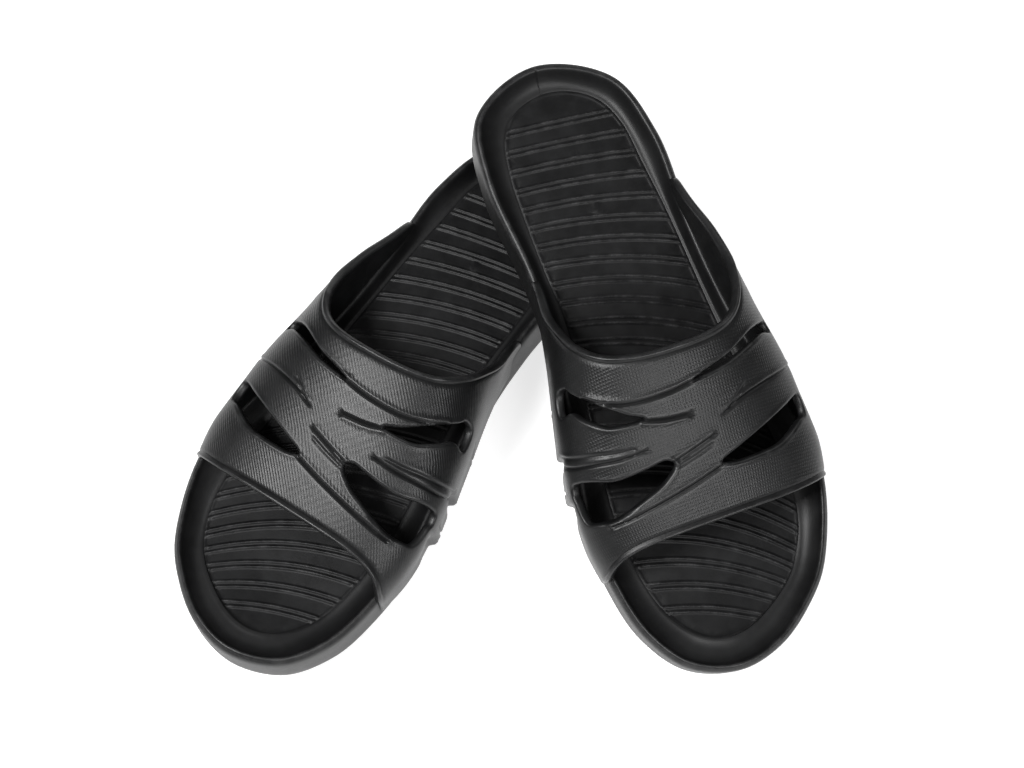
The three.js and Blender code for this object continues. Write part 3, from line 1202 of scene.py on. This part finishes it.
@dataclass
class Tread:
    """The walking layer under the sole, crossed by wavy grooves."""

    last: Last
    thickness: float = 5.2
    inset: float = 2.6
    groove_pitch: float = 12.0
    groove_half_width: float = 1.9
    groove_floor: float = 0.9
    groove_depth: float = 2.3
    groove_count: int = 23
    first_groove: float = 36.0
    wave_height: float = 1.6
    wave_length: float = 22.0

    def build(self, name: str) -> Moulding:
        """Raises the tread, with its grooves cut into its underside.

        Args:
            name: the piece's name.

        Returns:
            The piece.
        """
        last = self.last
        outline = along(last.outline + last.inward * self.inset, 1.4, closed=True)
        x = np.linspace(-60, 60, 121)
        lines = []
        for k in range(self.groove_count):
            y = last.spring_start - self.first_groove + k * self.groove_pitch
            wave = y + self.wave_height * np.sin(2 * math.pi * x / self.wave_length)
            line = np.column_stack([x, wave])
            within = inside(line, outline)
            if within.sum() > 12:
                lines.append(line[within])
        pattern = Pattern(
            outline, lines=lines, grid=3.4, edge_rows=(0.5, 1.2, 2.2),
            line_rows=(0.0, 0.8, 1.25, 1.7, 2.1), row_step=1.4,
        )
        skin = pattern.mesh()
        p = skin.points
        edge, _ = distance_to(p, outline, True)
        depth = rounded_edge(edge, 1.2)
        for line in lines:
            close = np.abs(p[:, 1] - line[:, 1].mean()) < 6
            distance, _ = distance_to(p[close], line)
            cut = self.groove_depth * (1 - smoothstep(distance, self.groove_floor, self.groove_half_width))
            depth[close] = np.maximum(depth[close], cut)
        low = last.spring(p[:, 1])
        under = np.column_stack([p, low + depth])
        upper = np.column_stack([p, low + self.thickness])
        vertices, faces = skin.solid(upper, under)
        flat = np.column_stack([np.vstack([p, p]), np.zeros(2 * len(p))])
        worn = np.concatenate([np.zeros(len(p)), np.clip(hump(edge - 1.0, 1.4), 0, 1)])
        return Moulding(name, vertices, faces, flat, worn)


class Crease(NamedTuple):
    """A moulded line on the upper: a groove, with a raised lip along one side of it."""

    places: Sequence[Top | Flank]
    depth: float = 0.85
    half_width: float = 1.0
    lip: float = 0.5
    lip_side: int = 1


@dataclass
class Upper:
    """The arched band over the foot: straps run together, parted by slots and moulded creases."""

    last: Last
    thickness: float = 3.8
    hem_bead: float = 0.45
    hem_groove: float = 0.5
    slot_bead: float = 0.3
    outer_rounding: float = 1.3
    inner_rounding: float = 1.0
    end_rounding: float = 1.6
    lip_from_groove: float = 1.65
    inner_pattern_shift: float = 8.0
    arch: Arch = field(init=False)

    def __post_init__(self) -> None:
        """Prepares the skin that the band is drawn on."""
        self.arch = Arch(self.last)

    @staticmethod
    def slots() -> list[list[Top | Flank]]:
        """The four openings, each as corners in order.

        Returns:
            The corners of each opening.
        """
        medial, lateral = Side.MEDIAL, Side.LATERAL
        return [
            [
                Flank(medial, 48, -6), Flank(medial, 55, -5.5), Top(-45, -8), Top(-38.5, -16), Top(-32, -22),
                Top(-26, -26.5), Top(-20, -29.8), Top(-27, -29.6), Top(-35, -27.8), Top(-43, -21.5),
                Flank(medial, 55, -16), Flank(medial, 48, -15.5),
            ],
            [
                Flank(lateral, 51, -6.5), Top(43, -6.8), Top(36, -9.3), Top(22, -16.4), Top(5, -21.3),
                Top(20, -19.4), Top(34, -14.2), Top(42, -11), Flank(lateral, 50, -10.5),
            ],
            [
                Flank(medial, 42, -45), Flank(medial, 47, -44.6), Top(-48, -46.4), Top(-39, -49.6),
                Top(-26, -49.6), Top(-16, -49), Top(-13.5, -51.3), Top(-20, -56.8), Top(-31, -60.8),
                Top(-43, -63.8), Flank(medial, 45, -63), Flank(medial, 41.5, -60.5),
            ],
            [
                Flank(lateral, 44, -40), Top(46, -40.8), Top(42, -42.8), Top(26, -49.3), Top(14, -53.6),
                Top(6, -56.8), Top(11, -58.4), Top(24, -58.4), Top(33, -57.2), Top(45, -51),
                Flank(lateral, 42.5, -48),
            ],
        ]

    @staticmethod
    def creases() -> list[Crease]:
        """The moulded lines between the straps.

        Returns:
            The lines, each with its depth and lip.
        """
        medial, lateral = Side.MEDIAL, Side.LATERAL
        return [
            Crease(
                [Top(7, -21.6), Top(-7, -23.2), Top(-24, -22.2), Top(-34, -18.4), Top(-41, -13)],
                lip_side=-1,
            ),
            Crease([Top(-20.5, -30.4), Top(-12, -32.6), Top(-2, -33.8)], lip_side=-1, lip=0.35),
            Crease(
                [
                    Flank(medial, 37, -34), Flank(medial, 47, -37.5), Top(-43, -40.6), Top(-34, -42.2),
                    Top(-24, -42.2),
                ],
                lip=0.15,
            ),
            Crease(
                [
                    Flank(medial, 37, -30), Flank(medial, 48, -33.5), Top(-44, -36.6), Top(-36, -38.8),
                    Top(-28, -40),
                ],
                depth=0.5, lip=0.2,
            ),
            Crease(
                [Top(13.7, -37.9), Top(22, -34.6), Top(31, -32.2), Top(40, -30), Flank(lateral, 44, -27)],
                lip=0.3,
            ),
            Crease([Top(16, -36.6), Top(21, -33), Top(25, -30)], depth=0.5, lip=0.2),
            Crease([Top(-13.4, -50.6), Top(-4, -48.2), Top(6, -45.4)], lip=0.4),
            Crease([Top(-13.4, -52.8), Top(-3, -50.6), Top(4, -48.6)], depth=0.5, lip=0.15),
            Crease(
                [Top(6, -58.2), Top(-8, -61.6), Top(-24, -64.6), Top(-38, -66.4), Top(-46, -66.6)],
                lip_side=-1,
            ),
            Crease([Flank(medial, 31, -6), Flank(medial, 25, -8), Flank(medial, 17, -9)], lip=0.2),
            Crease([Flank(medial, 31, -45), Flank(medial, 24, -45), Flank(medial, 17, -44)], lip=0.2),
            Crease(
                [Flank(lateral, 36, -7), Flank(lateral, 26, -4), Flank(lateral, 18, -3)],
                depth=0.4, lip=0.1,
            ),
        ]

    def _line(self, places: Sequence[Top | Flank], closed: bool = False) -> Numbers:
        """A smooth line through places, on the unrolled skin.

        Args:
            places: the places it passes through.
            closed: whether it returns to the first.

        Returns:
            The points of the line.
        """
        corners = [self.arch.spot(place) for place in places]
        return smooth_curve(corners, closed, detail=10)

    def _relief(
        self, p: Numbers, hem: Numbers, nearest: Numbers, creases: list[tuple[Crease, Numbers]]
    ) -> tuple[Numbers, Numbers, Numbers]:
        """The beads, grooves and lips that stand on the band.

        Args:
            p: places on the unrolled skin.
            hem: how far each lies from the front or rear hem.
            nearest: how far each lies from the nearest slot.
            creases: the moulded lines, each with its line on the skin.

        Returns:
            For each place: its height over the band, how worn it is, and how much cloth shows.
        """
        steepness = np.sin(self.arch.read(p[:, 0], p[:, 1])[:, 2])
        on_arch = smoothstep(np.abs(steepness), 0.0, 0.25)
        seen = smoothstep(steepness, 0.45, 0.85)
        height = (self.hem_bead * hump(hem - 1.0, 1.2) - self.hem_groove * hump(hem - 2.7, 0.9)) * on_arch
        height += self.slot_bead * hump(nearest - 1.4, 1.2) * seen
        worn = np.maximum(hump(hem - 0.9, 1.3), 0.8 * hump(nearest - 0.9, 1.3) * seen)
        cloth = smoothstep(hem, 3.0, 4.0) * smoothstep(nearest, 1.6, 2.8)
        for crease, line in creases:
            distance, side = distance_to(p, line)
            height -= crease.depth * hump(distance, crease.half_width)
            lip = hump(distance - self.lip_from_groove, 1.05) * (side == crease.lip_side)
            height += crease.lip * lip
            worn = np.maximum(worn, 0.4 * lip)
            cloth *= smoothstep(distance, 1.4, 2.4)
        cloth *= smoothstep(steepness, 0.25, 0.6)
        return height, worn, cloth

    def build(self, name: str) -> Moulding:
        """Raises the band with its slots, creases, and hems.

        Args:
            name: the piece's name.

        Returns:
            The piece.
        """
        arch = self.arch
        rear, front = arch.edge(rear=True), arch.edge(rear=False)
        outline = along(np.vstack([front, rear[::-1]]), 1.0, closed=True)
        slots = [self._line(slot, closed=True) for slot in self.slots()]
        creases = [(crease, self._line(crease.places)) for crease in self.creases()]
        skin = Pattern(outline, slots, [line for _, line in creases]).mesh()
        p = skin.points
        u, v = p[:, 0], p[:, 1]
        hem = np.minimum(distance_to(p, front)[0], distance_to(p, rear)[0])
        nearest = np.min([distance_to(p, slot, True)[0] for slot in slots], axis=0)
        height, worn, cloth = self._relief(p, hem, nearest, creases)
        edge = np.minimum(hem, nearest)
        ends = np.minimum(u, arch.width - u)
        drop = np.maximum(rounded_edge(edge, self.outer_rounding), rounded_edge(ends, self.end_rounding))
        surface = arch.point(u, v)
        out = arch.normal(u, v)
        outer = surface + out * (height - drop)[:, None]
        inner = surface - out * (self.thickness - rounded_edge(edge, self.inner_rounding))[:, None]
        vertices, faces = skin.solid(outer, inner)
        flat = np.column_stack([u, v, np.zeros(len(p))])
        pattern = np.vstack([flat, flat + [0, 0, self.inner_pattern_shift]])
        none = np.zeros(len(p))
        return Moulding(
            name, vertices, faces, pattern, np.concatenate([worn, none]),
            cloth=np.concatenate([cloth, none]), crease=50.0,
        )


@dataclass
class Slide:
    """One slide: tread, sole, footbed and upper, placed in the frame, with the upper hung on the slide's
    body.
    """

    placement: Placement
    last: Last

    def build(self, finishes: dict[str, bpy.types.Material]) -> list[bpy.types.Object]:
        """Makes the four pieces and fixes them to the frame.

        Args:
            finishes: the material of each piece, by its slot.

        Returns:
            The pieces.
        """
        foot = self.placement.foot.value
        makers: dict[str, Callable[[str], Moulding]] = {
            "tread": Tread(self.last).build,
            "sole": Sole(self.last).build,
            "footbed": Footbed(self.last).build,
            "upper": Upper(self.last).build,
        }
        made = []
        start, end = self.placement.bend_line()
        for slot, maker in makers.items():
            moulding = maker(f"{foot}_moulded_{slot}")
            piece = moulding.place(self.placement, finishes[slot])
            if slot == "upper":
                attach(piece, f"{foot}_slide")
                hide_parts(f"{foot}_upper")
            else:
                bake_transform(piece)
                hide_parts(f"{foot}_rear_{slot}", f"{foot}_toe_{slot}")
            log.info("%s: %d faces", piece.name, len(piece.data.polygons))
            made.append(piece)
        return made


# ---- the studio ---------------------------------------------------------------------------------


@dataclass(frozen=True)
class SoftLight:
    """A square soft box aimed at the pair."""

    name: str
    place: tuple[float, float, float]
    size: float
    power: float

    def hang(self, aim: Vector) -> None:
        """Hangs the light.

        Args:
            aim: the place that it faces.
        """
        lamp = bpy.data.lights.new(self.name, "AREA")
        lamp.shape = "SQUARE"
        lamp.size = self.size
        lamp.energy = self.power
        box = put(self.name, lamp)
        box.location = self.place
        box.rotation_euler = (aim - Vector(self.place)).to_track_quat("-Z", "Y").to_euler()


LIGHTS = (
    SoftLight("window", (-0.54, -0.24, 1.05), 0.34, 16.5),
    SoftLight("front_fill", (0.46, -0.88, 0.92), 0.46, 10.0),
    SoftLight("back_fill", (0.30, 0.85, 0.80), 0.5, 1.5),
)


@dataclass
class Studio:
    """A pale floor, soft lights and a camera looking steeply down at the pair."""

    elevation: float = 67.94
    distance: float = 0.7557
    lens: float = 59.2
    target: tuple[float, float, float] = (0.0052, -0.0048, 0.0311)
    sky: float = 0.14
    floor_tone: float = 0.6
    floor_glow: float = 0.75
    floor_half_width: float = 3.0
    floor_drop: float = 0.0002

    def build(self) -> None:
        """Sets up everything round the pair."""
        self._camera()
        self._floor()
        world = bpy.data.worlds.new("studio")
        world.use_nodes = True
        back = world.node_tree.nodes["Background"]
        back.inputs["Color"].default_value = (1, 1, 1, 1)
        back.inputs["Strength"].default_value = self.sky
        bpy.context.scene.world = world
        bpy.context.scene.view_settings.view_transform = "Standard"
        aim = Vector(self.target)
        for light in LIGHTS:
            light.hang(aim)

    def _camera(self) -> None:
        """Stands the camera in front, looking down."""
        rise = math.radians(self.elevation)
        ahead = Vector((0, math.cos(rise), -math.sin(rise)))
        camera = put("camera", bpy.data.cameras.new("camera"))
        camera.data.lens = self.lens
        camera.data.sensor_width = 36
        camera.location = Vector(self.target) - ahead * self.distance
        camera.rotation_euler = ahead.to_track_quat("-Z", "Y").to_euler()
        bpy.context.scene.camera = camera

    def _floor(self) -> None:
        """Lays a large plain floor just under the pair."""
        half = self.floor_half_width
        mesh = bpy.data.meshes.new("floor")
        corners = [(-half, -half, 0), (half, -half, 0), (half, half, 0), (-half, half, 0)]
        mesh.from_pydata(corners, [], [(0, 1, 2, 3)])
        mesh.transform(Matrix.Translation((0, 0, -self.floor_drop)))
        dye = Dye("pale_floor")
        tone = (self.floor_tone,) * 3 + (1,)
        place = dye.node("ShaderNodeTexCoord", {}, output="Object")
        cloud = dye.between(0.3, 0.7, dye.noise(place, 1.5))
        paper = dye.blend(cloud, tone, tuple(0.985 * c for c in tone[:3]) + (1,))
        shader = dye.node("ShaderNodeBsdfPrincipled", {}, {
            "Base Color": paper,
            "Roughness": 0.9,
            "Emission Color": (1, 1, 1, 1),
            "Emission Strength": self.floor_glow,
        })
        dye.node("ShaderNodeOutputMaterial", {}, {"Surface": shader})
        mesh.materials.append(dye.material)
        put("floor", mesh)


def finishes_for(foot: Foot) -> dict[str, bpy.types.Material]:
    """The four finishes of a slide; the two moulds differ in their cloth imprint.

    Args:
        foot: which foot the slide is for.

    Returns:
        The material of each piece, by its slot.
    """
    pips = foot is Foot.LEFT
    upper = BlackRubber(
        f"{foot.value}_woven_rubber", deep=(0.003, 0.0031, 0.0033, 1), worn=(0.0075, 0.0077, 0.008, 1),
        roughness=0.39, sheen_level=0.38, weave_pitch=1.35, weave_angle=0.0 if pips else 45.0, pips=pips,
    )
    return {
        "tread": BlackRubber(f"{foot.value}_tread_rubber", roughness=0.66, sheen_level=0.2).make(),
        "sole": BlackRubber(
            f"{foot.value}_sole_rubber", worn=(0.006, 0.0061, 0.0064, 1), roughness=0.47, sheen_level=0.42,
        ).make(),
        "footbed": BlackRubber(
            # its bright scuff colour paints the highlight on the rib tops, besides scuffs on edges
            f"{foot.value}_footbed_rubber", worn=(0.0085, 0.0086, 0.009, 1), scuff_and_highlight_tone=(0.085, 0.085, 0.086, 1),
            roughness=0.46, roughness_spread=0.34, sheen_level=0.2,
        ).make(),
        "upper": upper.make(),
    }


def main() -> None:
    """Builds the studio and both slides."""
    logging.basicConfig(level=logging.INFO, format="%(name)s %(message)s")
    Studio().build()
    last = Last()
    for placement in (
        Placement(Foot.RIGHT, yaw=-33.0),
        Placement(Foot.LEFT, yaw=20.5, tilt=12.5, roll=-2.0),
    ):
        Slide(placement, last).build(finishes_for(placement.foot))


if __name__ == "__main__":
    main()
